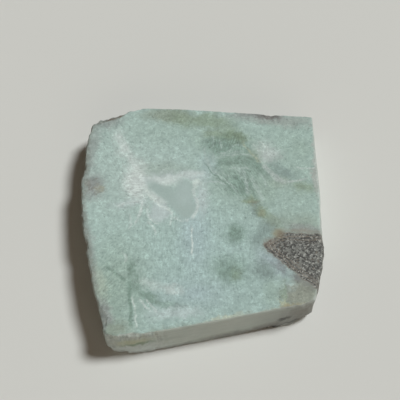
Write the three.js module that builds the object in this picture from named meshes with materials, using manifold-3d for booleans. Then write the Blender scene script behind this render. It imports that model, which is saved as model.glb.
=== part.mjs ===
// A sawn slab of larimar, the blue-green pectolite that fills veins in basalt. The two broad faces
// and the back, right and front edges are saw cuts. The left edge, with the corner behind it, is the
// broken outside of the lump that the slab was cut from, and the front right corner is worn round.
// Millimetres, +Z up. The slab lies on its underside, centred over the origin.
import * as THREE from "three";
import { ImprovedNoise } from "three/addons/math/ImprovedNoise.js";
import { mergeVertices } from "three/addons/utils/BufferGeometryUtils.js";
import Module from "manifold-3d";

const THICKNESS = 14;
// rows up the edge, as shares of the thickness
const HEIGHTS = [0, 0.03, 0.12, 0.23, 0.34, 0.45, 0.56, 0.67, 0.78, 0.87, 0.94, 0.98, 1];
const BLEND_LENGTH = 3; // over which one edge's profile turns into the next one's
const CORE = new THREE.Vector2(26, 30); // half size of the heart of the slab, which no edge reaches
const STONE_COLOUR = 0x9fb8b0;
const STONE_ROUGHNESS = 0.6;

// How an edge stands between the underside (height 0) and the top (height 1): [height, inset] pairs,
// the inset in millimetres in from the rim; how deep its breaks go at the underside and at the top;
// and how far apart along the rim its facets' corners stand.
const PROFILES = {
  sawn: { insets: [[0, 0.35], [0.03, 0], [0.97, 0], [1, 0.35]], breaks: [0.12, 0.12], spacing: 2.4 },
  frontCut: {
    insets: [[0, -0.6], [0.04, -0.9], [0.97, 0.15], [1, 0.5]],
    breaks: [0.18, 0.18],
    spacing: 2,
  },
  worn: {
    insets: [[0, 1.8], [0.15, 0.8], [0.5, 0], [0.88, 0.1], [1, 0.9]],
    breaks: [0.7, 0.5],
    spacing: 1.4,
  },
  chippedCorner: {
    insets: [[0, 0.6], [0.1, 0.2], [0.4, 0], [0.85, 0.2], [1, 1]],
    breaks: [0.9, 0.8],
    spacing: 1,
  },
  split: {
    insets: [[0, 3], [0.2, 1.7], [0.45, 0.8], [0.75, 0.2], [0.94, 0], [1, 0.5]],
    breaks: [1.7, 0.3],
    spacing: 1.1,
  },
  rind: {
    insets: [[0, 2.4], [0.3, 1], [0.7, 0.1], [0.9, 0], [1, 1]],
    breaks: [1, 0.5],
    spacing: 1.2,
  },
};

// The noise that shapes the breaks: how far apart its lumps stand along the rim and up the edge, how
// deep they go, and where in the noise they are read.
const BREAK_NOISE = {
  slope: { spacing: 9, rise: 6.5, depth: 0.9, shift: 3.1 },
  ledge: { spacing: 5.5, rise: 4.6, depth: 0.42, shift: 1.7 },
  facet: { spacing: 3.4, rise: 2.8, depth: 0.6, shift: 7.7 },
  pit: { spacing: 1.7, rise: 1.6, depth: 0.26, shift: 5.3 },
};
const LEDGE_STEPS = 3.2; // ledges in a full swing of their noise
const LEDGE_LIFT = 0.6; // keeps most of that noise above nothing

// The rim seen from above, anticlockwise from the left end of the back cut. Each run ends where the
// next one starts.
const RIM = [
  {
    profile: "rind",
    points: [[-22.4, 45.2], [-25.8, 44.7], [-29.2, 42.8], [-31.8, 41.6], [-36.8, 41.1], [-38.8, 39.4]],
  },
  {
    profile: "split",
    points: [
      [-40.4, 36], [-41.2, 31], [-41.6, 23.5], [-41, 18.6], [-41.9, 15], [-41.9, 8], [-40.9, 0],
      [-39.7, -7], [-38.3, -11.5], [-38.1, -15], [-36.6, -21], [-35.1, -28], [-32.9, -34],
      [-31.5, -39],
    ],
  },
  { profile: "chippedCorner", points: [[-31, -43], [-30.2, -44.3], [-27, -44.9]] },
  { profile: "frontCut", points: [[-22.4, -44.3], [34, -33]] },
  {
    profile: "worn",
    points: [[37, -31.6], [38.5, -28.4], [39.6, -24], [41.1, -18.5], [41.8, -12], [41.8, -4]],
  },
  { profile: "sawn", points: [[41.7, 3]] },
  { profile: "sawn", points: [[41.2, 41.2], [-8, 44.9]] },
];

// Flakes knocked off the edges, each the bite of an ellipsoid: its centre, its half axes, and its
// turn about Z in degrees.
const FLAKES = {
  backBite: { at: [25.4, 43.4, 14.4], axes: [3.3, 1.9, 2.2], turn: -5 },
  frontFoot: { at: [20, -38.4, -0.6], axes: [10.5, 2.4, 4.8], turn: 11 },
  frontSlot: { at: [23, -36.6, 0.9], axes: [2.4, 1.8, 1.3], turn: 11 },
  cornerFoot: { at: [36.9, -35, -2.5], axes: [10, 4.6, 8.4], turn: 25 },
  frontLedge: { at: [-22, -46.8, 16.4], axes: [8.5, 5, 4.6], turn: 10 },
  frontNick: { at: [28.8, -35.3, 6], axes: [1.1, 1.4, 1.2], turn: 10 },
  rightNick: { at: [42.2, 21, 14.3], axes: [0.9, 3.2, 1.4], turn: 0 },
  rightSlit: { at: [40.3, -22.9, 12.8], axes: [2.2, 0.6, 2.6], turn: 0 },
  cornerNick: { at: [39, -33, 14.4], axes: [2.6, 1.9, 2.1], turn: 35 },
  leftScoop: { at: [-42.6, 27, 4.6], axes: [2.6, 6.5, 4.6], turn: 4 },
  leftShelf: { at: [-42, -10, 3], axes: [3.2, 8.5, 4.2], turn: 12 },
  leftShoulder: { at: [-41, -40, 34.6], axes: [24, 18, 24], turn: 14 },
  backCorner: { at: [-37.2, 41.4, 17], axes: [7.6, 4.4, 5], turn: 24 },
};
const FLAKE_DETAIL = 3;

const noise = new ImprovedNoise();

/** The inset of a profile at a height from 0 to 1, straight between its pairs. */
function insetAt(insets, height) {
  const above = Math.max(1, insets.findIndex(([h]) => h >= height));
  const [[h0, i0], [h1, i1]] = [insets[above - 1], insets[above]];
  return THREE.MathUtils.mapLinear(height, h0, h1, i0, i1);
}

/** One of the breaks' noises at a point, from about -1 to 1. */
function lump({ spacing, rise, shift }, x, y, z) {
  return noise.noise(x / spacing + shift, y / spacing, z / rise);
}

/** How far a break eats into the stone at a point: ledges a few millimetres across, with pits. */
function breakDepth(x, y, z) {
  const { slope, ledge, facet, pit } = BREAK_NOISE;
  const shelf = Math.floor(LEDGE_STEPS * (lump(ledge, x, y, z) + LEDGE_LIFT)) / LEDGE_STEPS;
  return (
    slope.depth * Math.abs(lump(slope, x, y, z)) +
    ledge.depth * shelf +
    facet.depth * Math.abs(lump(facet, x, y, z)) +
    pit.depth * lump(pit, x, y, z)
  );
}

/** The rim as evenly spaced stations, each with the two profiles that it lies between. */
function rimStations() {
  const stations = [];
  RIM.forEach((run, i) => {
    const next = RIM[(i + 1) % RIM.length];
    const before = RIM[(i + RIM.length - 1) % RIM.length];
    const corners = [...run.points, next.points[0]].map(([x, y]) => new THREE.Vector3(x, y, 0));
    const path = new THREE.CurvePath();
    corners.slice(1).forEach((end, n) => path.add(new THREE.LineCurve3(corners[n], end)));
    const length = path.getLength();
    const count = Math.max(1, Math.round(length / PROFILES[run.profile].spacing));
    for (let n = 0; n < count; n++) {
      const along = (n / count) * length;
      const toEnd = Math.min(along, length - along) / BLEND_LENGTH;
      const neighbour = along < length / 2 ? before : next;
      stations.push({
        point: path.getPointAt(n / count),
        own: PROFILES[run.profile],
        other: PROFILES[neighbour.profile],
        share: 0.5 + 0.5 * THREE.MathUtils.smoothstep(toEnd, 0, 1),
      });
    }
  });
  return stations;
}

/** Where a station's edge stands at a height from 0 to 1. */
function edgePoint({ point, own, other, share }, height) {
  const heart = point.clone().clamp(
    new THREE.Vector3(-CORE.x, -CORE.y, 0),
    new THREE.Vector3(CORE.x, CORE.y, 0),
  );
  const inward = heart.sub(point).normalize();
  const mix = (a, b) => THREE.MathUtils.lerp(b, a, share);
  const z = height * THICKNESS;
  const reach = ({ breaks }) => THREE.MathUtils.lerp(...breaks, height);
  const depth = breakDepth(point.x, point.y, z) * mix(reach(own), reach(other));
  const inset = mix(insetAt(own.insets, height), insetAt(other.insets, height));
  return point.clone().addScaledVector(inward, inset + depth).setZ(z);
}

/** The slab before its flakes came off: rows of stations up the edge, closed by the two cuts. */
function blankGeometry() {
  const stations = rimStations();
  const rows = HEIGHTS.map((height) => stations.map((station) => edgePoint(station, height)));
  const count = stations.length;
  const faces = [];
  for (let row = 0; row < HEIGHTS.length - 1; row++) {
    for (let n = 0; n < count; n++) {
      const [a, b] = [row * count + n, row * count + ((n + 1) % count)];
      faces.push(a, b, b + count, a, b + count, a + count);
    }
  }
  const cut = (row, flip) => {
    const outline = rows[row].map((p) => new THREE.Vector2(p.x, p.y));
    for (const [a, b, c] of THREE.ShapeUtils.triangulateShape(outline, [])) {
      const corners = flip ? [a, c, b] : [a, b, c];
      faces.push(...corners.map((corner) => row * count + corner));
    }
  };
  cut(0, true);
  cut(HEIGHTS.length - 1, false);
  const geometry = new THREE.BufferGeometry().setFromPoints(rows.flat());
  return geometry.setIndex(faces);
}

/** The ellipsoid that takes one flake off. */
function flakeGeometry({ at, axes, turn }) {
  return new THREE.IcosahedronGeometry(1, FLAKE_DETAIL)
    .scale(...axes)
    .rotateZ(THREE.MathUtils.degToRad(turn))
    .translate(...at);
}

const wasm = await Module();
wasm.setup();

/** A closed geometry as a solid that can be cut. */
function solid(geometry) {
  const bare = geometry.clone();
  bare.deleteAttribute("normal");
  bare.deleteAttribute("uv");
  const merged = mergeVertices(bare, 1e-4);
  return new wasm.Manifold(
    new wasm.Mesh({
      numProp: 3,
      vertProperties: merged.getAttribute("position").array,
      triVerts: new Uint32Array(merged.index.array),
    }),
  );
}

/** A solid as a geometry again. */
function geometryOf(body) {
  const { vertProperties, triVerts } = body.getMesh();
  return new THREE.BufferGeometry()
    .setAttribute("position", new THREE.BufferAttribute(vertProperties, 3))
    .setIndex(new THREE.BufferAttribute(triVerts, 1));
}

/** The finished stone, moved so that the middle of its box stands over the origin. */
function slabGeometry() {
  const flaked = Object.values(FLAKES).reduce(
    (body, flake) => body.subtract(solid(flakeGeometry(flake))),
    solid(blankGeometry()),
  );
  const geometry = geometryOf(flaked);
  geometry.computeBoundingBox();
  const middle = geometry.boundingBox.getCenter(new THREE.Vector3());
  geometry.translate(-middle.x, -middle.y, -geometry.boundingBox.min.z);
  geometry.computeVertexNormals();
  return geometry;
}

const stone = new THREE.MeshStandardMaterial({
  color: STONE_COLOUR,
  roughness: STONE_ROUGHNESS,
  metalness: 0,
  flatShading: true,
});
const slab = new THREE.Mesh(slabGeometry(), stone);
slab.name = "larimar_slab";

const part = new THREE.Group();
part.add(slab);
export default part;
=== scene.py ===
"""A sawn slab of larimar, the blue pectolite stone, lying on a pale studio floor.

The slab's solid is the frame. Its mesh is cut fine here, its broken rind is given splintery
relief, its sawn edges are chipped, and one stone finish with its markings covers it.
Sizes are in millimetres, and become metres where they reach Blender.
"""

import logging
import math
import random
from collections.abc import Iterable
from dataclasses import dataclass, replace
from enum import Enum
from functools import reduce
from itertools import groupby
from typing import Self

import bmesh
import bpy
import numpy as np
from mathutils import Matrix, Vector, noise


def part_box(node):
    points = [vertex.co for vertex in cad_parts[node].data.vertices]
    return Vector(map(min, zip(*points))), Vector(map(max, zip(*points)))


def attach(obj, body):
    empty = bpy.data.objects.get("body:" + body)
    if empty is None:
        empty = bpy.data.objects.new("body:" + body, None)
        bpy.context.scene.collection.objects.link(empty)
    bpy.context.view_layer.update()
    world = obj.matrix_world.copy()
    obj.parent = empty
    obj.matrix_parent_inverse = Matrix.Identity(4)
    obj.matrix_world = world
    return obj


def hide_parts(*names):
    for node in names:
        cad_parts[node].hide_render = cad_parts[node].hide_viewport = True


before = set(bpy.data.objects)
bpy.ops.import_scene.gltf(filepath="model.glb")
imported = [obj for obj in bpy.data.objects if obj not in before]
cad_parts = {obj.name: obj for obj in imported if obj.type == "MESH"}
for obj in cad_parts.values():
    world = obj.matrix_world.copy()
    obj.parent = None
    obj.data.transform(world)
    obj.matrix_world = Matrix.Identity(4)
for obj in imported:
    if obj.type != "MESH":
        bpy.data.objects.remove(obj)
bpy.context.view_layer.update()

MM = 0.001
QUARTER_TURN = math.pi / 2
NOISE_MIDDLE = 0.5
NODE = "larimar_slab"
BROKEN = "broken"
LOG = logging.getLogger("larimar")

# the sockets of a Mix node that mixes colours
MIX_FACTOR = 0
MIX_UNDER = 6
MIX_OVER = 7
MIX_RESULT = 2

Point = tuple[float, float]
Triple = tuple[float, float, float]
Colour = tuple[float, float, float, float]
Socket = bpy.types.NodeSocket
Sockets = tuple[Socket, Socket, Socket]
Value = float | tuple[float, ...] | Socket


class Tint(Enum):
    """The stone's colours, as sRGB triples from 0 to 255."""

    AQUA = (162, 184, 177)
    PALE_AQUA = (167, 184, 178)
    GREEN_AQUA = (147, 168, 157)
    BLUE_AQUA = (155, 179, 175)
    LOW_AQUA = (152, 174, 168)
    HEART_BLUE = (158, 176, 171)
    HEART_LIGHT = (165, 182, 178)
    HEART_SHADE = (153, 171, 165)
    WHITE = (197, 207, 203)
    BRIGHT = (208, 219, 213)
    PINK_WHITE = (180, 189, 186)
    LAVENDER = (160, 180, 181)
    PALE_LAVENDER = (180, 193, 192)
    BLUE_LAVENDER = (148, 164, 165)
    SLATE_PURPLE = (112, 116, 116)
    GREY_LAVENDER = (138, 143, 140)
    SLATE = (125, 143, 138)
    GREEN = (124, 147, 136)
    DEEP_GREEN = (113, 136, 124)
    OLIVE = (129, 146, 125)
    DEEP_OLIVE = (116, 134, 113)
    MOSS_GREY = (138, 151, 138)
    TAN_GREY = (134, 139, 126)
    STRAW = (168, 172, 145)
    PALE_STRAW = (176, 183, 164)
    OCHRE = (143, 138, 112)
    RUST = (126, 112, 92)
    UMBER = (96, 84, 72)
    RIM_GREY = (122, 126, 118)
    RIND_BROWN = (134, 124, 110)
    PINK_GREY = (164, 170, 164)
    RIND_GREY = (147, 157, 151)
    SAW_FILM = (165, 172, 165)
    # dark grey that is partly painted shade: in the chip of the back edge and along the foot of the front
    DARK_GREY_AND_SHADE = (110, 110, 106)
    # the basalt's dark crystals; on the foot of the front it is also painted shade
    BASALT_DARK_AND_SHADE = (60, 60, 57)
    BASALT_PALE = (124, 126, 120)
    BASALT_LIGHT = (176, 178, 171)
    FLOOR = (204, 204, 199)

    @property
    def linear(self) -> Colour:
        """The tint in linear light, by the sRGB standard's curve.

        Returns:
            Its red, green, blue and alpha.
        """
        channels = [part / 255 for part in self.value]
        light = [c / 12.92 if c <= 0.04045 else ((c + 0.055) / 1.055) ** 2.4 for c in channels]
        return (*light, 1.0)


@dataclass(frozen=True)
class Rise:
    """A smooth rise from low to high while some measure goes from start to end."""

    start: float
    end: float
    low: float = 0.0
    high: float = 1.0


@dataclass(frozen=True)
class Cloud:
    """Cloudy noise: the spacing of its lumps, its layers of finer lumps, and how strong these are."""

    size: float
    detail: float = 2.0
    roughness: float = 0.5


@dataclass(frozen=True)
class Wander:
    """How noise pushes an outline about: the spacing of its lumps, and its push between extremes."""

    size: float
    reach: float


@dataclass(frozen=True)
class Patch:
    """A soft-edged oval of another tint, turned by degrees."""

    centre: Point
    half: Point
    tint: Tint
    strength: float = 0.8
    turn: float = 0.0
    softness: float = 0.6


@dataclass(frozen=True)
class Vein:
    """A line of another tint on a smooth curve through its points."""

    points: tuple[Point, ...]
    half_width: float
    tint: Tint
    strength: float = 0.8
    softness: float = 0.6
    gaps: float = 0.6


@dataclass(frozen=True)
class Fibres:
    """An oval of stone whose crystal threads all lie one way, in degrees."""

    centre: Point
    half: Point
    turn: float
    strength: float


@dataclass(frozen=True)
class Inclusion:
    """A body of other rock with flat sides, each given by a point on it and its outward angle."""

    sides: tuple[tuple[Point, float], ...]
    corner: float
    edge: float


# Marks lie in plan, and those of the front face in elevation, with X across and Z up. Rows of one
# tint that follow each other are laid on as one mark.

ZONES = (
    Patch((-29.4, 30.1), (17.0, 15.0), Tint.PALE_AQUA, 0.4, softness=0.9),
    Patch((-12.4, 35.1), (14.0, 6.0), Tint.GREEN_AQUA, 0.4, softness=0.9),
    Patch((-20.4, 12.1), (19.0, 11.0), Tint.PALE_AQUA, 0.6, softness=0.9),
    Patch((16.6, 17.1), (14.0, 17.0), Tint.GREEN_AQUA, 0.9, 20.0, softness=0.7),
    Patch((31.6, 14.1), (14.0, 28.0), Tint.GREEN_AQUA, 0.6, softness=0.8),
    Patch((35.7, 27.0), (5.0, 6.0), Tint.GREEN_AQUA, 0.8, softness=0.9),
    Patch((-0.4, 30.4), (3.4, 4.6), Tint.GREEN_AQUA, 0.6, softness=0.9),
    Patch((2.6, -19.9), (22.0, 20.0), Tint.BLUE_AQUA, 0.6, softness=0.9),
    Patch((-27.4, -29.9), (10.0, 17.0), Tint.GREEN_AQUA, 0.95, softness=0.7),
    Patch((-1.8, -7.9), (4.6, 11.0), Tint.LAVENDER, 0.75, softness=0.8),
    Patch((8.0, -31.0), (26.0, 8.0), Tint.LOW_AQUA, 0.8, 9.0, 0.7),
    Patch((-1.9, -28.9), (10.0, 5.5), Tint.LAVENDER, 0.5, softness=0.9),
)

PATCHES = (
    # the pale ground round the heart
    Patch((-22.4, 13.2), (4.0, 7.2), Tint.WHITE, 0.95, 6.0, 0.7),
    Patch((-12.6, 14.6), (7.0, 2.0), Tint.PALE_LAVENDER, 0.9, 5.0, 0.7),
    Patch((-3.4, 15.6), (6.0, 1.8), Tint.PALE_LAVENDER, 0.8, 3.0, 0.7),
    Patch((-12.2, 13.4), (3.6, 1.6), Tint.BRIGHT, 0.5, softness=0.9),
    Patch((-15.0, 6.4), (1.8, 3.6), Tint.WHITE, 0.8, 38.0, 0.7),
    Patch((-13.0, 18.0), (8.0, 2.4), Tint.MOSS_GREY, 0.35, softness=0.8),
    Patch((-14.1, 0.9), (3.6, 3.4), Tint.PALE_LAVENDER, 0.8, softness=0.4),
    Patch((-1.6, 12.6), (1.6, 1.6), Tint.BRIGHT, 0.7, softness=0.8),
    Patch((0.6, 6.4), (1.9, 6.0), Tint.PALE_LAVENDER, 0.7, softness=0.8),
    Patch((2.8, 19.6), (3.2, 5.0), Tint.LAVENDER, 0.5, softness=0.9),
    Patch((-24.6, 4.2), (5.4, 1.5), Tint.PALE_LAVENDER, 0.6, 8.0, 0.8),
    Patch((-29.6, 32.0), (2.0, 3.6), Tint.WHITE, 0.35, softness=0.9),
    Patch((-27.2, 26.4), (2.2, 2.4), Tint.WHITE, 0.5, softness=0.9),
    # the stains on the back edge and the olive block
    Patch((-11.4, 41.4), (9.5, 3.0), Tint.MOSS_GREY, 0.95, -3.0, 0.6),
    Patch((-5.4, 39.4), (6.5, 3.2), Tint.OLIVE, 0.6, -8.0, 0.7),
    Patch((2.8, 39.0), (8.5, 3.0), Tint.OLIVE, 0.75, -6.0, 0.6),
    Patch((8.8, 36.4), (5.0, 3.4), Tint.OLIVE, 0.6, -24.0, 0.7),
    Patch((5.6, 33.2), (3.8, 2.8), Tint.OLIVE, 0.75, softness=0.6),
    Patch((12.0, 31.2), (4.8, 3.0), Tint.DEEP_OLIVE, 0.9, -5.0, 0.45),
    Patch((7.2, 28.2), (5.4, 3.6), Tint.GREEN, 1.0, softness=0.7),
    Patch((14.0, 27.6), (4.8, 2.6), Tint.GREEN, 0.8, -20.0, 0.6),
    Patch((19.4, 24.0), (2.4, 2.0), Tint.OLIVE, 0.6, -50.0, 0.8),
    # the green arc and the ground inside it
    Patch((9.6, 16.6), (4.0, 3.4), Tint.GREEN, 0.55, softness=0.9),
    Patch((19.0, 16.6), (5.4, 5.0), Tint.GREEN, 0.6, softness=0.8),
    Patch((12.2, 12.4), (4.0, 4.2), Tint.GREEN, 0.85, 30.0, 0.7),
    Patch((15.6, 10.4), (1.9, 4.6), Tint.DEEP_GREEN, 0.85, 22.0, 0.7),
    Patch((21.4, 9.4), (4.2, 6.0), Tint.GREEN_AQUA, 1.0, softness=0.8),
    # the pale and slate ground of the back right
    Patch((22.6, 27.0), (3.2, 3.0), Tint.PINK_WHITE, 0.45, 20.0, 0.9),
    Patch((24.8, 24.4), (3.8, 3.0), Tint.PINK_WHITE, 0.75, softness=0.8),
    Patch((29.4, 16.6), (5.2, 2.6), Tint.SLATE, 0.75, -30.0, 0.9),
    Patch((26.6, 19.4), (3.0, 2.2), Tint.SLATE, 0.6, -40.0, 0.9),
    Patch((27.6, 39.4), (15.0, 2.6), Tint.RIND_GREY, 0.85, -4.0, 0.6),
    Patch((20.6, 41.0), (9.0, 1.4), Tint.GREY_LAVENDER, 0.9, -4.0, 0.7),
    # the chip in the back edge: dark grey that is partly a stain and partly painted shade in its hollow
    Patch((25.2, 41.2), (4.2, 1.5), Tint.DARK_GREY_AND_SHADE, 0.95, -4.0, 0.5),
    Patch((41.3, 22.0), (1.5, 17.0), Tint.PINK_GREY, 0.9, -1.0, 0.5),
    Patch((27.8, 12.4), (3.0, 2.2), Tint.MOSS_GREY, 0.5, softness=0.8),
    Patch((36.0, 10.6), (3.8, 2.0), Tint.OLIVE, 0.6, -5.0, 0.8),
    # the olive spots between the arc and the basalt
    Patch((17.6, 5.4), (2.6, 2.0), Tint.OLIVE, 0.95, -38.0, 0.6),
    Patch((17.9, 4.6), (1.2, 0.9), Tint.OCHRE, 0.5, -50.0, 0.9),
    Patch((19.2, 1.6), (1.8, 3.0), Tint.SLATE, 0.9, 20.0, 0.7),
    Patch((21.0, 1.2), (2.6, 1.7), Tint.OLIVE, 0.9, -40.0, 0.7),
    Patch((21.2, 1.0), (1.3, 0.9), Tint.OCHRE, 0.45, -40.0, 0.9),
    Patch((24.2, -2.6), (4.4, 1.9), Tint.OLIVE, 0.75, -50.0, 0.7),
    Patch((22.6, -6.0), (3.6, 3.4), Tint.SLATE, 0.8, softness=0.8),
    Patch((19.2, -9.6), (3.0, 3.6), Tint.SLATE, 0.8, softness=0.8),
    Patch((33.0, -3.4), (9.0, 3.4), Tint.MOSS_GREY, 0.6, -4.0, 0.8),
    Patch((36.0, -5.6), (6.0, 1.6), Tint.GREY_LAVENDER, 0.7, -4.0, 0.7),
    # below the basalt
    Patch((24.6, -18.0), (6.0, 3.4), Tint.BLUE_LAVENDER, 1.0, -40.0, 0.7),
    Patch((30.4, -28.4), (5.0, 2.4), Tint.BLUE_LAVENDER, 0.7, -20.0, 0.8),
    Patch((33.7, -25.2), (4.6, 1.8), Tint.SLATE_PURPLE, 0.95, -38.0, 0.6),
    Patch((26.2, -19.4), (2.0, 1.2), Tint.SLATE_PURPLE, 0.6, -40.0, 0.8),
    Patch((32.6, -30.0), (6.6, 4.6), Tint.TAN_GREY, 0.95, 8.0, 0.5),
    Patch((27.0, -30.4), (1.3, 5.4), Tint.MOSS_GREY, 0.9, softness=0.6),
    Patch((27.2, -29.8), (0.6, 4.0), Tint.DEEP_OLIVE, 0.6, softness=0.8),
    Patch((27.0, -33.6), (0.8, 2.2), Tint.STRAW, 0.8, softness=0.8),
    Patch((30.0, -34.4), (8.0, 1.3), Tint.OCHRE, 0.9, 10.0, 0.7),
    Patch((23.6, -28.3), (3.0, 5.0), Tint.GREEN_AQUA, 0.7, softness=0.7),
    # the green spots of the middle
    Patch((11.6, -7.6), (3.0, 3.6), Tint.GREEN, 0.7, -25.0, 0.9),
    Patch((9.8, -20.8), (5.4, 4.6), Tint.GREEN, 0.75, softness=0.8),
    Patch((12.0, -7.6), (2.2, 2.4), Tint.DEEP_GREEN, 0.75, softness=0.9),
    Patch((8.8, -21.6), (2.6, 2.2), Tint.DEEP_GREEN, 0.45, -30.0, 0.9),
    Patch((11.6, -22.4), (2.0, 2.0), Tint.DEEP_OLIVE, 0.55, softness=0.9),
    Patch((20.6, -20.9), (3.6, 3.0), Tint.SLATE, 1.0, softness=0.7),
    # the lower left
    Patch((-22.7, -20.2), (1.4, 2.8), Tint.DEEP_GREEN, 0.75, softness=0.6),
    Patch((-21.6, -26.6), (2.4, 3.0), Tint.GREEN, 0.7, softness=0.7),
    Patch((-16.6, -30.6), (4.4, 1.7), Tint.GREEN, 0.9, -26.0, 0.5),
    Patch((-11.0, -33.2), (4.6, 1.4), Tint.GREEN, 0.6, -10.0, 0.6),
    Patch((-6.8, -33.8), (1.6, 0.9), Tint.SLATE, 0.7, softness=0.7),
    Patch((-16.4, -26.0), (3.2, 1.4), Tint.WHITE, 0.4, -10.0, 0.9),
    Patch((-9.4, -27.8), (3.6, 1.4), Tint.WHITE, 0.55, -8.0, 0.9),
    Patch((-33.0, -26.0), (2.2, 6.5), Tint.PALE_STRAW, 0.35, 18.0, 0.8),
    Patch((-30.6, -37.0), (2.6, 5.0), Tint.GREY_LAVENDER, 0.85, 14.0, 0.6),
    Patch((-26.8, -41.4), (4.6, 2.4), Tint.MOSS_GREY, 0.95, 10.0, 0.7),
    Patch((-1.4, -28.9), (3.4, 2.2), Tint.LAVENDER, 0.6, softness=0.8),
    Patch((-8.0, -36.2), (7.6, 1.9), Tint.PALE_LAVENDER, 0.6, 4.0, 0.7),
    Patch((-12.0, -42.0), (12.0, 1.2), Tint.MOSS_GREY, 0.5, 8.0, 0.7),
    Patch((7.8, -37.9), (6.4, 1.1), Tint.PALE_STRAW, 0.75, 9.0, 0.7),
    # the weathered strip behind the broken left side
    Patch((-39.0, 26.0), (2.2, 12.0), Tint.GREY_LAVENDER, 0.6, -8.0, 0.8),
    Patch((-37.6, 11.0), (3.6, 4.8), Tint.GREY_LAVENDER, 0.9, -6.0, 0.8),
    Patch((-35.0, 9.6), (1.5, 1.0), Tint.OCHRE, 0.5, softness=0.8),
    Patch((-37.8, -12.0), (2.2, 12.0), Tint.GREY_LAVENDER, 0.5, 10.0, 0.7),
    Patch((-33.6, 38.6), (5.0, 2.6), Tint.GREY_LAVENDER, 0.7, 14.0, 0.8),
    Patch((-35.6, 39.6), (3.4, 0.9), Tint.UMBER, 0.9, 12.0, 0.7),
    Patch((-39.4, 11.6), (1.1, 2.2), Tint.UMBER, 0.4, softness=0.9),
    Patch((-37.2, 10.0), (0.9, 0.7), Tint.UMBER, 0.45, softness=0.8),
    Patch((-36.6, 13.6), (0.6, 0.6), Tint.UMBER, 0.35, softness=0.8),
)

HEART = (
    Patch((-5.6, 8.4), (3.1, 5.0), Tint.HEART_BLUE, 1.0, softness=0.30),
    Patch((-12.2, 8.6), (7.2, 2.5), Tint.HEART_BLUE, 0.95, -36.0, 0.40),
    Patch((-5.0, 2.4), (3.5, 3.9), Tint.HEART_BLUE, 1.0, softness=0.32),
    Patch((-7.2, 5.8), (4.2, 4.2), Tint.HEART_BLUE, 1.0, softness=0.25),
)

HEART_SHADES = (
    Patch((-12.6, 9.4), (5.0, 2.6), Tint.HEART_SHADE, 0.5, -30.0, 0.9),
    Patch((-5.4, 7.2), (2.6, 5.4), Tint.HEART_LIGHT, 0.9, 0.0, 0.9),
    Patch((-5.4, 1.4), (2.6, 2.4), Tint.HEART_SHADE, 0.5, 0.0, 0.9),
)

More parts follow.
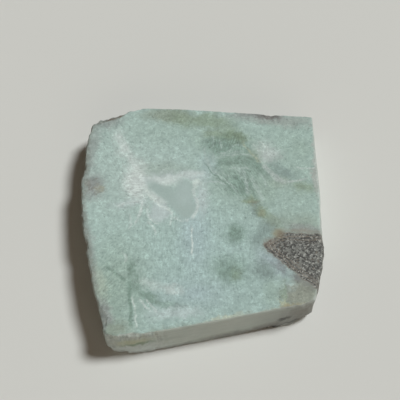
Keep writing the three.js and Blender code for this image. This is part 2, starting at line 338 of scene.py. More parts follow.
VEINS = (
    # the grey rim along the broken left side
    Vein(
        (
            (-31.0, 41.0), (-37.2, 38.4), (-40.2, 33.0), (-40.4, 20.0), (-41.0, 8.0), (-39.8, -2.0),
            (-37.4, -14.0), (-34.6, -26.0), (-31.6, -36.0),
        ),
        half_width=1.3, tint=Tint.RIM_GREY, strength=0.7, softness=0.7,
    ),
    Vein(
        (
            (-40.0, 34.5), (-39.6, 37.0), (-37.6, 38.8), (-35.2, 39.5), (-30.2, 40.9),
            (-27.0, 43.4),
        ),
        half_width=0.8, tint=Tint.UMBER, strength=0.9, softness=0.7, gaps=0.3,
    ),
    # the white band down to the heart, over it and round it
    Vein(
        ((-30.2, 34.5), (-27.1, 27.2), (-23.6, 20.6), (-20.6, 14.7), (-20.0, 10.4)),
        half_width=1.3, tint=Tint.WHITE, strength=0.6, softness=0.8,
    ),
    Vein(
        ((-20.4, 15.0), (-15.6, 13.8), (-12.0, 12.6), (-8.9, 14.4), (-4.3, 15.9), (2.6, 16.5)),
        half_width=1.2, tint=Tint.WHITE, strength=0.45, softness=0.9, gaps=0.3,
    ),
    Vein(
        ((-19.4, 10.8), (-16.7, 6.2), (-13.5, 3.2), (-10.8, 1.9), (-9.0, 0.2)),
        half_width=0.45, tint=Tint.BRIGHT, strength=0.6,
    ),
    Vein(((-1.8, 12.0), (-2.2, 8.4), (-0.9, 4.8), (-1.6, 1.0), (-3.2, -2.6)), 0.6, Tint.WHITE, 0.6),
    Vein(((-10.6, 1.6), (-9.6, -1.4), (-10.4, -4.4)), 0.4, Tint.WHITE, 0.5),
    Vein(((-9.4, -0.8), (-6.0, -2.4), (-3.2, -2.0)), 0.5, Tint.WHITE, 0.5),
    Vein(((-19.9, 8.4), (-20.3, 2.2), (-21.2, -1.4), (-22.4, -4.6)), 0.5, Tint.WHITE, 0.7),
    Vein(((-20.4, 5.0), (-24.9, 4.4), (-29.6, 2.6)), 0.5, Tint.WHITE, 0.5),
    Vein(((-17.6, 4.6), (-18.0, 0.8), (-16.4, -2.6), (-12.8, -3.8)), 0.4, Tint.WHITE, 0.6),
    Vein(((-24.8, 0.6), (-23.6, -2.6), (-24.4, -6.2)), 0.35, Tint.WHITE, 0.5),
    Vein(((-18.4, -2.6), (-15.8, -5.2), (-15.0, -8.6)), 0.35, Tint.WHITE, 0.5),
    Vein(((-2.9, -4.0), (-2.8, -8.0), (-2.7, -12.0), (-2.6, -16.2)), 0.35, Tint.BRIGHT, 0.7),
    Vein(((0.8, 12.4), (5.4, 12.9), (9.6, 11.6)), 0.35, Tint.PALE_LAVENDER, 0.45),
    # the green arc with its sharp upper lip
    Vein(
        ((4.0, 18.4), (7.4, 21.0), (11.0, 21.8), (15.0, 21.8), (19.0, 20.6), (23.0, 15.6)),
        half_width=1.8, tint=Tint.DEEP_GREEN, strength=0.75, softness=0.45, gaps=0.5,
    ),
    Vein(
        ((5.2, 22.4), (8.4, 24.0), (12.4, 24.2), (16.4, 24.2), (20.8, 22.9)),
        half_width=0.35, tint=Tint.PALE_AQUA, strength=0.6,
    ),
    Vein(((8.2, 26.4), (9.4, 24.8), (12.6, 25.4), (15.8, 26.0)), 0.35, Tint.PALE_AQUA, 0.5),
    Vein(((3.0, 26.4), (4.6, 23.6), (4.4, 20.4)), 0.4, Tint.PALE_AQUA, 0.5),
    Vein(((4.0, 33.0), (4.8, 29.6), (3.6, 26.8)), 0.4, Tint.PALE_AQUA, 0.45),
    Vein(((6.4, 31.0), (7.6, 28.6), (7.2, 26.0)), 0.4, Tint.PALE_AQUA, 0.45),
    Vein(((11.2, 27.6), (13.6, 28.6), (16.0, 27.4)), 0.4, Tint.PALE_AQUA, 0.45),
    Vein(((20.6, 16.8), (22.4, 14.0), (23.4, 10.2)), 0.45, Tint.PALE_AQUA, 0.5),
    Vein(((1.8, 28.4), (1.7, 25.0), (2.4, 22.0), (3.2, 18.6)), 0.45, Tint.PALE_AQUA, 0.6),
    Vein(((5.4, 25.6), (7.7, 24.6), (9.8, 25.4), (11.4, 27.4)), 0.4, Tint.PALE_AQUA, 0.6),
    Vein(((9.2, 18.6), (12.0, 18.4), (13.8, 16.4), (14.4, 13.4)), 0.4, Tint.PALE_AQUA, 0.5),
    Vein(((13.6, 18.3), (15.4, 18.9), (17.2, 18.3)), 0.4, Tint.PALE_AQUA, 0.8),
    Vein(
        ((12.0, 19.2), (14.6, 18.0), (15.7, 14.5), (16.2, 10.6), (17.2, 7.4)),
        half_width=0.6, tint=Tint.PALE_AQUA, strength=0.8, softness=0.8,
    ),
    Vein(((18.0, 16.6), (18.6, 12.8), (20.3, 8.9), (21.7, 4.1)), 0.7, Tint.PALE_AQUA, 0.55, 0.8),
    Vein(((16.6, 12.8), (18.4, 8.6), (19.4, 5.6)), 0.5, Tint.DEEP_GREEN, 0.6),
    Vein(((7.2, 18.2), (8.4, 16.0), (10.8, 15.2)), 0.35, Tint.PALE_AQUA, 0.5),
    # the hairline crack with its pale lip
    Vein(
        ((1.0, 21.6), (2.2, 19.8), (4.3, 16.6), (9.0, 12.2), (12.5, 7.6)),
        half_width=0.24, tint=Tint.DEEP_GREEN, strength=0.7, softness=0.8, gaps=0.2,
    ),
    Vein(
        ((1.7, 22.0), (2.8, 20.3), (4.9, 17.2), (9.6, 12.8), (13.1, 8.2)),
        half_width=0.4, tint=Tint.PALE_AQUA, strength=0.6, softness=0.8,
    ),
    # the ochre thread, the pale vein and the fine lines of the right
    Vein(((14.7, 30.6), (17.4, 25.9), (19.6, 23.1), (21.8, 20.6)), 0.5, Tint.STRAW, 0.4),
    Vein(((18.8, 29.6), (20.4, 27.0), (22.4, 25.2)), 0.35, Tint.BRIGHT, 0.35),
    Vein(((20.4, 30.4), (23.2, 28.2), (24.0, 25.4)), 0.35, Tint.BRIGHT, 0.35),
    Vein(
        ((21.9, 20.8), (24.9, 16.6), (27.6, 13.9), (31.2, 12.6)),
        half_width=0.9, tint=Tint.PINK_WHITE, strength=0.55, softness=0.6, gaps=0.4,
    ),
    Vein(((29.8, 13.2), (34.3, 13.4), (38.4, 15.2)), 0.4, Tint.PINK_WHITE, 0.6),
    Vein(((33.6, 18.9), (36.5, 18.5), (41.0, 18.8)), 0.35, Tint.WHITE, 0.6),
    Vein(((32.0, 11.4), (35.2, 11.2), (39.3, 10.2)), 0.8, Tint.OLIVE, 0.4),
    # the lines of the lower left
    Vein(((-31.8, -18.8), (-29.3, -20.9), (-27.3, -22.6), (-23.7, -25.4)), 0.55, Tint.DEEP_GREEN, 0.75),
    Vein(
        ((-22.9, -24.2), (-22.7, -30.5), (-22.3, -35.7), (-21.9, -41.9)),
        half_width=0.5, tint=Tint.DEEP_GREEN, strength=0.85, softness=0.6, gaps=0.2,
    ),
    Vein(((-20.7, -22.4), (-20.6, -25.0), (-20.5, -28.0)), 0.5, Tint.DEEP_GREEN, 0.6),
    Vein(((-22.1, -30.0), (-21.1, -34.3), (-20.6, -37.7), (-20.4, -41.5)), 0.3, Tint.BRIGHT, 0.5),
    Vein(((-20.2, -30.6), (-18.1, -32.9), (-15.5, -35.7)), 0.30, Tint.WHITE, 0.6),
    Vein(((-18.2, -30.8), (-16.0, -33.2), (-13.8, -36.0)), 0.32, Tint.WHITE, 0.6),
    Vein(((-26.0, -14.2), (-24.6, -16.4), (-24.6, -18.6)), 0.5, Tint.WHITE, 0.35),
)

MILKY = (
    Patch((-12.4, 14.2), (8.6, 3.2), Tint.WHITE, 0.5, 0.0, 0.6),
    Patch((-2.4, 15.0), (6.0, 3.0), Tint.WHITE, 0.4, 0.0, 0.6),
    Patch((-14.1, 0.9), (3.8, 3.6), Tint.WHITE, 0.6, 0.0, 0.5),
    Patch((-17.4, 12.4), (3.0, 3.4), Tint.WHITE, 0.6, 0.0, 0.6),
)

FIBRES = (
    Fibres((-23.0, 11.5), (4.5, 7.5), 4.0, 0.28),
    Fibres((-2.0, -14.0), (26.0, 17.0), 90.0, 0.16),
    Fibres((-29.0, 27.0), (9.0, 12.0), -66.0, 0.14),
    Fibres((-31.0, -26.0), (5.0, 12.0), 52.0, 0.24),
    Fibres((10.0, 29.0), (8.0, 5.0), 84.0, 0.30),
    Fibres((14.0, 14.0), (8.0, 8.0), -60.0, 0.30),
)

# stains of the front face; the dark grey along its foot is partly its broken edge and partly painted
# contact shade and painted shade in its crevices
FRONT_STAINS_AND_SHADE = (
    Patch((-29.0, 8.0), (3.4, 5.0), Tint.PINK_GREY, 0.5, softness=0.8),
    Patch((-20.0, 2.4), (9.0, 3.4), Tint.PINK_WHITE, 0.95, softness=0.8),
    Patch((10.0, 9.0), (18.0, 5.0), Tint.PINK_GREY, 0.7, softness=0.8),
    Patch((-21.5, 9.0), (4.8, 1.8), Tint.STRAW, 0.75, 4.0, 0.7),
    Patch((-20.0, 7.4), (4.4, 0.9), Tint.DEEP_OLIVE, 0.7, 4.0, 0.7),
    Patch((31.0, 6.0), (10.0, 9.0), Tint.GREY_LAVENDER, 0.7, softness=0.8),
    Patch((35.0, 8.0), (5.5, 5.0), Tint.UMBER, 0.45, 6.0, 0.8),
    # along the foot and the lower right: dark grey, partly the broken edge and partly painted contact
    # shade and crevice shade
    Patch((22.0, 2.4), (7.0, 2.2), Tint.DARK_GREY_AND_SHADE, 0.85, 6.0, 0.7),
    Patch((12.0, 1.2), (12.0, 2.2), Tint.DARK_GREY_AND_SHADE, 0.8, 0.0, 0.7),
    Patch((33.0, 3.0), (6.0, 2.0), Tint.DARK_GREY_AND_SHADE, 0.6, 10.0, 0.7),
    Patch((-4.0, 0.4), (18.0, 1.6), Tint.DARK_GREY_AND_SHADE, 0.6, 0.0, 0.7),
    Patch((23.6, 1.0), (3.0, 0.9), Tint.BASALT_DARK_AND_SHADE, 1.0, 12.0, 0.6),
    Patch((27.6, 6.2), (2.0, 1.0), Tint.BASALT_DARK_AND_SHADE, 0.8, 20.0, 0.7),
    Patch((30.0, 2.6), (3.4, 0.5), Tint.BASALT_DARK_AND_SHADE, 0.6, 10.0, 0.8),
)

BASALT_STAINS = (
    Patch((26.2, -7.4), (1.8, 1.6), Tint.OCHRE, 0.8, 30.0, 0.8),
    Patch((26.9, -7.7), (1.3, 1.1), Tint.UMBER, 0.5, 30.0, 0.9),
    Patch((34.0, -6.4), (6.0, 0.8), Tint.RIND_BROWN, 0.5, -3.0, 0.9),
    Patch((23.0, -11.0), (1.6, 1.6), Tint.RIND_BROWN, 0.4, 0.0, 0.9),
)

BASALT_BODY = Inclusion(
    sides=(
        ((34.0, -7.4), 88.0),
        ((24.2, -9.4), 123.0),
        ((21.2, -11.6), 180.0),
        ((29.5, -20.3), 227.5),
    ),
    corner=1.0,
    edge=0.35,
)


@dataclass
class Graph:
    """Short calls that add nodes to one node tree and hand back their sockets."""

    tree: bpy.types.NodeTree

    def node(self, kind: str, inputs: dict[str | int, Value], **settings: object) -> bpy.types.Node:
        """Adds one node.

        Args:
            kind: The node's Blender type.
            inputs: A number, tuple or socket for each named or numbered input.
            settings: The node's own options.

        Returns:
            The new node.
        """
        made = self.tree.nodes.new(kind)
        for name, setting in settings.items():
            setattr(made, name, setting)
        for key, value in inputs.items():
            if isinstance(value, bpy.types.NodeSocket):
                self.tree.links.new(value, made.inputs[key])
            else:
                made.inputs[key].default_value = value
        return made

    def math(self, operation: str, *values: Value) -> Socket:
        """The result of a Math node on up to three values."""
        return self.node("ShaderNodeMath", dict(enumerate(values)), operation=operation).outputs[0]

    def scaled(self, vector: Socket, factor: float) -> Socket:
        """A vector times a number."""
        inputs = {0: vector, "Scale": factor}
        return self.node("ShaderNodeVectorMath", inputs, operation="SCALE").outputs[0]

    def stretched(self, vector: Socket, factors: Triple) -> Socket:
        """A vector with each of its axes times its own number."""
        return self.node("ShaderNodeVectorMath", {0: vector, 1: factors}, operation="MULTIPLY").outputs[0]

    def axes(self, vector: Socket) -> Sockets:
        """The X, Y and Z of a vector."""
        return tuple(self.node("ShaderNodeSeparateXYZ", {0: vector}).outputs)

    def channels(self, colour: Socket) -> Sockets:
        """The red, green and blue of a colour."""
        return tuple(self.node("ShaderNodeSeparateColor", {0: colour}).outputs)

    def greatest(self, values: Iterable[Socket]) -> Socket:
        """The greatest of several values."""
        return reduce(lambda first, second: self.math("MAXIMUM", first, second), values)

    def step(self, value: Value, rise: Rise) -> Socket:
        """How far a rise has come at a value. It never leaves its range, so it isn't clamped.

        Args:
            value: The measure that the rise goes by.
            rise: The rise.

        Returns:
            A number between the rise's low and its high.
        """
        inputs = {
            "Value": value,
            "From Min": rise.start,
            "From Max": rise.end,
            "To Min": rise.low,
            "To Max": rise.high,
        }
        options = {"interpolation_type": "SMOOTHSTEP", "clamp": False}
        return self.node("ShaderNodeMapRange", inputs, **options).outputs[0]

    def swung(self, value: Socket, swing: float, base: Value) -> Socket:
        """A base, moved by a swing times how far a value from 0 to 1 lies from its middle."""
        return self.math("MULTIPLY_ADD", self.math("SUBTRACT", value, NOISE_MIDDLE), swing, base)

    def noise(self, place: Socket, cloud: Cloud) -> Socket:
        """Cloudy noise from 0 to 1."""
        return self.cloudy(place, cloud).outputs["Fac"]

    def cloudy(self, place: Socket, cloud: Cloud) -> bpy.types.Node:
        """Adds a node that makes cloudy noise.

        Args:
            place: The point that the noise is read at.
            cloud: The noise.

        Returns:
            The new node.
        """
        inputs = {
            "Vector": place,
            "Scale": 1.0 / cloud.size,
            "Detail": cloud.detail,
            "Roughness": cloud.roughness,
        }
        return self.node("ShaderNodeTexNoise", inputs)

    def cells(self, place: Socket, size: float) -> Socket:
        """A field of crystal cells of about one size, each of a colour of its own."""
        inputs = {"Vector": place, "Scale": 1.0 / size}
        return self.node("ShaderNodeTexVoronoi", inputs).outputs["Color"]

    def blend(self, under: Value, over: Value, mask: Value) -> Socket:
        """The under colour, with the over colour laid on it through a mask."""
        inputs = {MIX_FACTOR: mask, MIX_UNDER: under, MIX_OVER: over}
        return self.node("ShaderNodeMix", inputs, data_type="RGBA").outputs[MIX_RESULT]

    def lit(self, colour: Value, light: Value) -> Socket:
        """The colour times a light.

        A mix that multiplies by two, taken by the light less one, does it in one colour node.

        Args:
            colour: The colour.
            light: The number that it is multiplied by.

        Returns:
            The lit colour.
        """
        twice = (2.0, 2.0, 2.0, 1.0)
        inputs = {MIX_FACTOR: self.math("SUBTRACT", light, 1.0), MIX_UNDER: colour, MIX_OVER: twice}
        options = {"data_type": "RGBA", "blend_type": "MULTIPLY", "clamp_factor": False}
        return self.node("ShaderNodeMix", inputs, **options).outputs[MIX_RESULT]


@dataclass(frozen=True)
class Drawing:
    """A flat drawing that marks are laid on, by the two measures across it."""

    graph: Graph
    across: Socket
    up: Socket
    vein_ends: Rise = Rise(1.02, 0.72)
    chord_level: float = 0.5

    def wandered(self, place: Socket, wander: Wander) -> Self:
        """The drawing with its points pushed about by noise, so that outlines on it wander.

        Args:
            place: The point in the stone that the noise is read at.
            wander: How the noise pushes.

        Returns:
            The moved drawing.
        """
        graph = self.graph
        red, green, _ = graph.channels(graph.cloudy(place, Cloud(wander.size)).outputs["Color"])
        across = graph.math("SUBTRACT", self.across, wander.reach / 2)
        up = graph.math("SUBTRACT", self.up, wander.reach / 2)
        return replace(
            self,
            across=graph.math("MULTIPLY_ADD", red, wander.reach, across),
            up=graph.math("MULTIPLY_ADD", green, wander.reach, up),
        )

    def along(self, origin: Point, turn: float, unit: float = 1.0) -> Socket:
        """How far the drawn point lies from an origin along a direction.

        Args:
            origin: Where the measure starts.
            turn: The direction, in radians from the way across.
            unit: The length that counts as one.

        Returns:
            The distance in units.
        """
        across = math.cos(turn) / unit
        up = math.sin(turn) / unit
        start = origin[0] * across + origin[1] * up
        rest = self.graph.math("MULTIPLY_ADD", self.up, up, -start)
        return self.graph.math("MULTIPLY_ADD", self.across, across, rest)

    def patch(self, patch: Patch) -> Socket:
        """How strongly a patch covers the drawn point.

        Args:
            patch: The patch.

        Returns:
            The mask.
        """
        turn = math.radians(patch.turn)
        length = self.along(patch.centre, turn, patch.half[0])
        width = self.along(patch.centre, turn + QUARTER_TURN, patch.half[1])
        square = self.graph.math("MULTIPLY_ADD", length, length, self.graph.math("MULTIPLY", width, width))
        fade = Rise(1.0 + patch.softness, 1.0 - patch.softness, 0.0, patch.strength)
        return self.graph.step(self.graph.math("SQRT", square), fade)

    def union(self, patches: Iterable[Patch]) -> Socket:
        """How strongly any of the patches covers the drawn point."""
        return self.graph.greatest(self.patch(patch) for patch in patches)

    def marked(self, colour: Value, patches: Iterable[Patch]) -> Value:
        """The colour with patches laid on it in order, and neighbours of one tint laid on as one.

        Args:
            colour: The stone's colour.
            patches: The patches.

        Returns:
            The marked colour.
        """
        for tint, alike in groupby(patches, key=lambda patch: patch.tint):
            colour = self.graph.blend(colour, tint.linear, self.union(alike))
        return colour

    def veined(self, colour: Value, veins: Iterable[Vein], dense: Socket) -> Value:
        """The colour with veins laid on it in order, and neighbours of one tint laid on as one.

        Args:
            colour: The stone's colour.
            veins: The veins.
            dense: Where a vein may thin out along its way.

        Returns:
            The veined colour.
        """
        for tint, alike in groupby(veins, key=lambda vein: vein.tint):
            mask = self.graph.greatest(self.vein(vein, dense) for vein in alike)
            colour = self.graph.blend(colour, tint.linear, mask)
        return colour

    def vein(self, vein: Vein, dense: Socket) -> Socket:
        """How strongly a vein covers the drawn point.

        The vein is a curve over its own chord, and thins out towards both ends.

        Args:
            vein: The vein.
            dense: Where the vein may thin out along its way.

        Returns:
            The mask.
        """
        graph = self.graph
        start = Vector(vein.points[0])
        chord = Vector(vein.points[-1]) - start
        turn = math.atan2(chord.y, chord.x)
        length = self.along(vein.points[0], turn, chord.length)
        aside = self.along(vein.points[0], turn + QUARTER_TURN)
        bend = self.course(length, [Vector(point) - start for point in vein.points], chord)
        distance = graph.math("ABSOLUTE", graph.math("SUBTRACT", aside, bend))
        reach = vein.half_width * (1.0 + vein.softness)
        core = vein.half_width * (1.0 - vein.softness)
        width = graph.step(distance, Rise(reach, core, 0.0, vein.strength))
        from_middle = graph.math("ABSOLUTE", graph.math("MULTIPLY_ADD", length, 2.0, -1.0))
        whole = graph.math("MULTIPLY", width, graph.step(from_middle, self.vein_ends))
        return graph.math("MULTIPLY", whole, graph.math("MULTIPLY_ADD", dense, -vein.gaps, 1.0))

    def course(self, length: Socket, steps: list[Vector], chord: Vector) -> Socket:
        """How far a vein lies beside its own chord, from a curve on which one level is the chord.

        Args:
            length: How far along the chord the drawn point lies, from 0 to 1.
            steps: The vein's points, from its first one.
            chord: The way from the vein's first point to its last.

        Returns:
            The distance to the left of the chord.
        """
        along = chord.normalized()
        aside = Vector((-along.y, along.x))
        knots = [
            (step.dot(along) / chord.length, self.chord_level + step.dot(aside) / chord.length)
            for step in steps
        ]
        bent = self.graph.node("ShaderNodeFloatCurve", {"Value": length})
        curve = bent.mapping.curves[0]
        curve.points[0].location = knots[0]
        curve.points[1].location = knots[-1]
        for knot in knots[1:-1]:
            curve.points.new(*knot)
        bent.mapping.update()
        level = -self.chord_level * chord.length
        return self.graph.math("MULTIPLY_ADD", bent.outputs[0], chord.length, level)

    def outside(self, body: Inclusion) -> Socket:
        """How far the drawn point lies outside a body, negative within it.

        Args:
            body: The body, whose corners are rounded.

        Returns:
            The distance.
        """
        reaches = [self.along(point, math.radians(angle)) for point, angle in body.sides]
        outside = reaches[0]
        for reach in reaches[1:]:
            outside = self.graph.math("SMOOTH_MAX", outside, reach, body.corner)
        return outside


@dataclass(frozen=True)
class Crystals:
    """The larimar's fine texture: clouds, grain, light threads, dark specks and fibres.

    A swing or a light is how much each of them lightens the stone, as a share of its colour.
    """

    base_light: float = 0.98
    clouds: Cloud = Cloud(2.4, 4.0, 0.6)
    cloud_swing: float = 0.6
    grain: Cloud = Cloud(0.8, 2.0, 0.7)
    grain_swing: float = 0.6
    weave: Cloud = Cloud(1.5, 2.0, 0.6)
    thread: Rise = Rise(0.07, 0.0)
    thread_patches: Cloud = Cloud(1.9, 1.0)
    thread_patch: Rise = Rise(0.44, 0.60)
    thread_light: float = 0.24
    specks: Cloud = Cloud(1.0, 1.0)
    speck: Rise = Rise(0.38, 0.26)
    speck_light: float = -0.22
    fibre_length: float = 2.6
    fibre_width: float = 0.55
    fibre_cloud: Cloud = Cloud(1.0, 2.0, 0.6)
    fibre_swing: float = 4.0
    fibre_softness: float = 0.7
    lost_where_smooth: float = 0.85

    def lay(self, drawing: Drawing, colour: Value, place: Socket, smooth: Socket) -> Socket:
        """Lays the texture on the stone.

        Args:
            drawing: The plan of the stone.
            colour: The stone's colour.
            place: The point in the stone.
            smooth: Where the stone is even, and lacks most of the texture.

        Returns:
            The mottled colour.
        """
        graph = drawing.graph
        light = graph.swung(graph.noise(place, self.clouds), self.cloud_swing, self.base_light)
        light = graph.swung(graph.noise(place, self.grain), self.grain_swing, light)
        weave = graph.math("SUBTRACT", graph.noise(place, self.weave), NOISE_MIDDLE)
        threads = graph.step(graph.math("ABSOLUTE", weave), self.thread)
        patches = graph.step(graph.noise(place, self.thread_patches), self.thread_patch)
        threads = graph.math("MULTIPLY", threads, patches)
        light = graph.math("MULTIPLY_ADD", threads, self.thread_light, light)
        specks = graph.step(graph.noise(place, self.specks), self.speck)
        light = graph.math("MULTIPLY_ADD", specks, self.speck_light, light)
        for fibres in FIBRES:
            light = graph.math("ADD", light, self.fibrous(drawing, fibres))
        kept = graph.math("MULTIPLY_ADD", smooth, -self.lost_where_smooth, 1.0)
        light = graph.math("MULTIPLY_ADD", graph.math("SUBTRACT", light, 1.0), kept, 1.0)
        return graph.lit(colour, light)

    def fibrous(self, drawing: Drawing, fibres: Fibres) -> Socket:
        """How much the threads of one oval lighten the drawn point.

        Args:
            drawing: The plan of the stone.
            fibres: The oval and its threads.

        Returns:
            The light that they add, negative where they darken.
        """
        graph = drawing.graph
        turn = math.radians(fibres.turn)
        along = drawing.along(fibres.centre, turn, self.fibre_length)
        across = drawing.along(fibres.centre, turn + QUARTER_TURN, self.fibre_width)
        strand = graph.node("ShaderNodeCombineXYZ", {0: along, 1: across}).outputs[0]
        lift = graph.math("SUBTRACT", graph.noise(strand, self.fibre_cloud), NOISE_MIDDLE)
        swing = self.fibre_swing * fibres.strength
        oval = Patch(fibres.centre, fibres.half, Tint.WHITE, swing, softness=self.fibre_softness)
        return graph.math("MULTIPLY", lift, drawing.patch(oval))


@dataclass(frozen=True)
class Basalt:
    """The basalt body: its grain, the browned bands inside its edge, and its grey border."""

    body: Inclusion = BASALT_BODY
    grain: Cloud = Cloud(0.55, 2.0, 0.8)
    grain_share: float = 0.6
    crystal_size: float = 0.55
    crystal_share: float = 0.6
    light: Rise = Rise(0.36, 0.98)
    pale_crystals: Rise = Rise(0.82, 0.88, 0.0, 0.6)
    rusty_crystals: Rise = Rise(0.94, 0.97, 0.0, 0.3)
    band_rate: float = 5.5
    band_wander: float = 4.0
    band: Rise = Rise(-0.4, 0.8, 0.0, 0.4)
    band_reach: Rise = Rise(-4.2, -1.6)
    border: Rise = Rise(1.5, 0.0, 0.0, 0.7)
    border_patches: Rise = Rise(0.34, 0.6)

    def lay(self, drawing: Drawing, colour: Socket, place: Socket) -> Value:
        """Sets the body in the stone.

        Args:
            drawing: The plan that the body's outline is drawn on.
            colour: The stone's colour.
            place: The point in the stone that the grain is read at.

        Returns:
            The colour of both rocks.
        """
        graph = drawing.graph
        outside = drawing.outside(self.body)
        grain = graph.noise(place, self.grain)
        rock = self.rock(graph, place, grain)
        wander = graph.math("MULTIPLY", grain, self.band_wander)
        waves = graph.math("SINE", graph.math("MULTIPLY_ADD", outside, self.band_rate, wander))
        bands = graph.math("MULTIPLY", graph.step(outside, self.band_reach), graph.step(waves, self.band))
        rock = graph.blend(rock, Tint.RIND_BROWN.linear, bands)
        patches = graph.step(grain, self.border_patches)
        border = graph.math("MULTIPLY", graph.step(outside, self.border), patches)
        colour = graph.blend(colour, Tint.RIM_GREY.linear, border)
        inside = graph.step(outside, Rise(self.body.edge, -self.body.edge))
        return drawing.marked(graph.blend(colour, rock, inside), BASALT_STAINS)

    def rock(self, graph: Graph, place: Socket, grain: Socket) -> Socket:
        """The colour of the rock itself, from its grain and its crystals.

        Args:
            graph: The tree to build in.
            place: The point in the stone.
            grain: The grain's noise there.

        Returns:
            The colour.
        """
        red, green, blue = graph.channels(graph.cells(place, self.crystal_size))
        fine = graph.math("MULTIPLY", grain, self.grain_share)
        lightness = graph.math("MULTIPLY_ADD", red, self.crystal_share, fine)
        light = graph.step(lightness, self.light)
        rock = graph.blend(Tint.BASALT_DARK_AND_SHADE.linear, Tint.BASALT_PALE.linear, light)
        rock = graph.blend(rock, Tint.BASALT_LIGHT.linear, graph.step(blue, self.pale_crystals))
        return graph.blend(rock, Tint.RUST.linear, graph.step(green, self.rusty_crystals))


@dataclass(frozen=True)
class SawFilm:
    """The film of saw dust that stays on the sides, in level streaks."""

    stretch: Triple = (0.15, 0.15, 1.1)
    streaks: Cloud = Cloud(1.0, 3.0, 0.6)
    light: Rise = Rise(0.30, 0.70, 0.86, 1.12)
    cover: Rise = Rise(0.34, 0.60, 0.70, 0.95)

    def lay(self, graph: Graph, colour: Value, place: Socket, side: Socket) -> Socket:
        """Lays the film on the stone.

        Args:
            graph: The tree to build in.
            colour: The stone's colour.
            place: The point in the stone.
            side: Where the surface is a side.

        Returns:
            The colour with its film.
        """
        streaks = graph.noise(graph.stretched(place, self.stretch), self.streaks)
        film = graph.lit(Tint.SAW_FILM.linear, graph.step(streaks, self.light))
        return graph.blend(colour, film, graph.math("MULTIPLY", side, graph.step(streaks, self.cover)))


@dataclass(frozen=True)
class Crust:
    """The stained, pitted and upright-striped crust of the broken rind."""

    clouds: Cloud = Cloud(2.4, 4.0, 0.65)
    pink: Rise = Rise(0.42, 0.60)
    stains: Cloud = Cloud(5.0, 4.0, 0.6)
    stain: Rise = Rise(0.54, 0.70, 0.0, 0.5)
    pits: Cloud = Cloud(1.1, 2.0, 0.6)
    pit: Rise = Rise(0.40, 0.30, 0.0, 0.45)
    stretch: Triple = (1.2, 1.2, 0.18)
    stripes: Cloud = Cloud(1.0, 2.0, 0.6)
    stripe_light: Rise = Rise(0.30, 0.70, 0.80, 1.28)
    cover: float = 0.75

    def lay(self, graph: Graph, colour: Value, place: Socket) -> Socket:
        """Lays the crust where the mesh says that the stone is broken.

        Args:
            graph: The tree to build in.
            colour: The stone's colour.
            place: The point in the stone.

        Returns:
            The colour with its crust.
        """
        broken = graph.node("ShaderNodeAttribute", {}, attribute_name=BROKEN).outputs["Fac"]
        pink = graph.step(graph.noise(place, self.clouds), self.pink)
        crust = graph.blend(Tint.RIND_GREY.linear, Tint.PINK_GREY.linear, pink)
        stain = graph.step(graph.noise(place, self.stains), self.stain)
        crust = graph.blend(crust, Tint.OCHRE.linear, stain)
        pit = graph.step(graph.noise(place, self.pits), self.pit)
        crust = graph.blend(crust, Tint.UMBER.linear, pit)
        stripes = graph.noise(graph.stretched(place, self.stretch), self.stripes)
        crust = graph.lit(crust, graph.step(stripes, self.stripe_light))
        return graph.blend(colour, crust, graph.math("MULTIPLY", broken, self.cover))


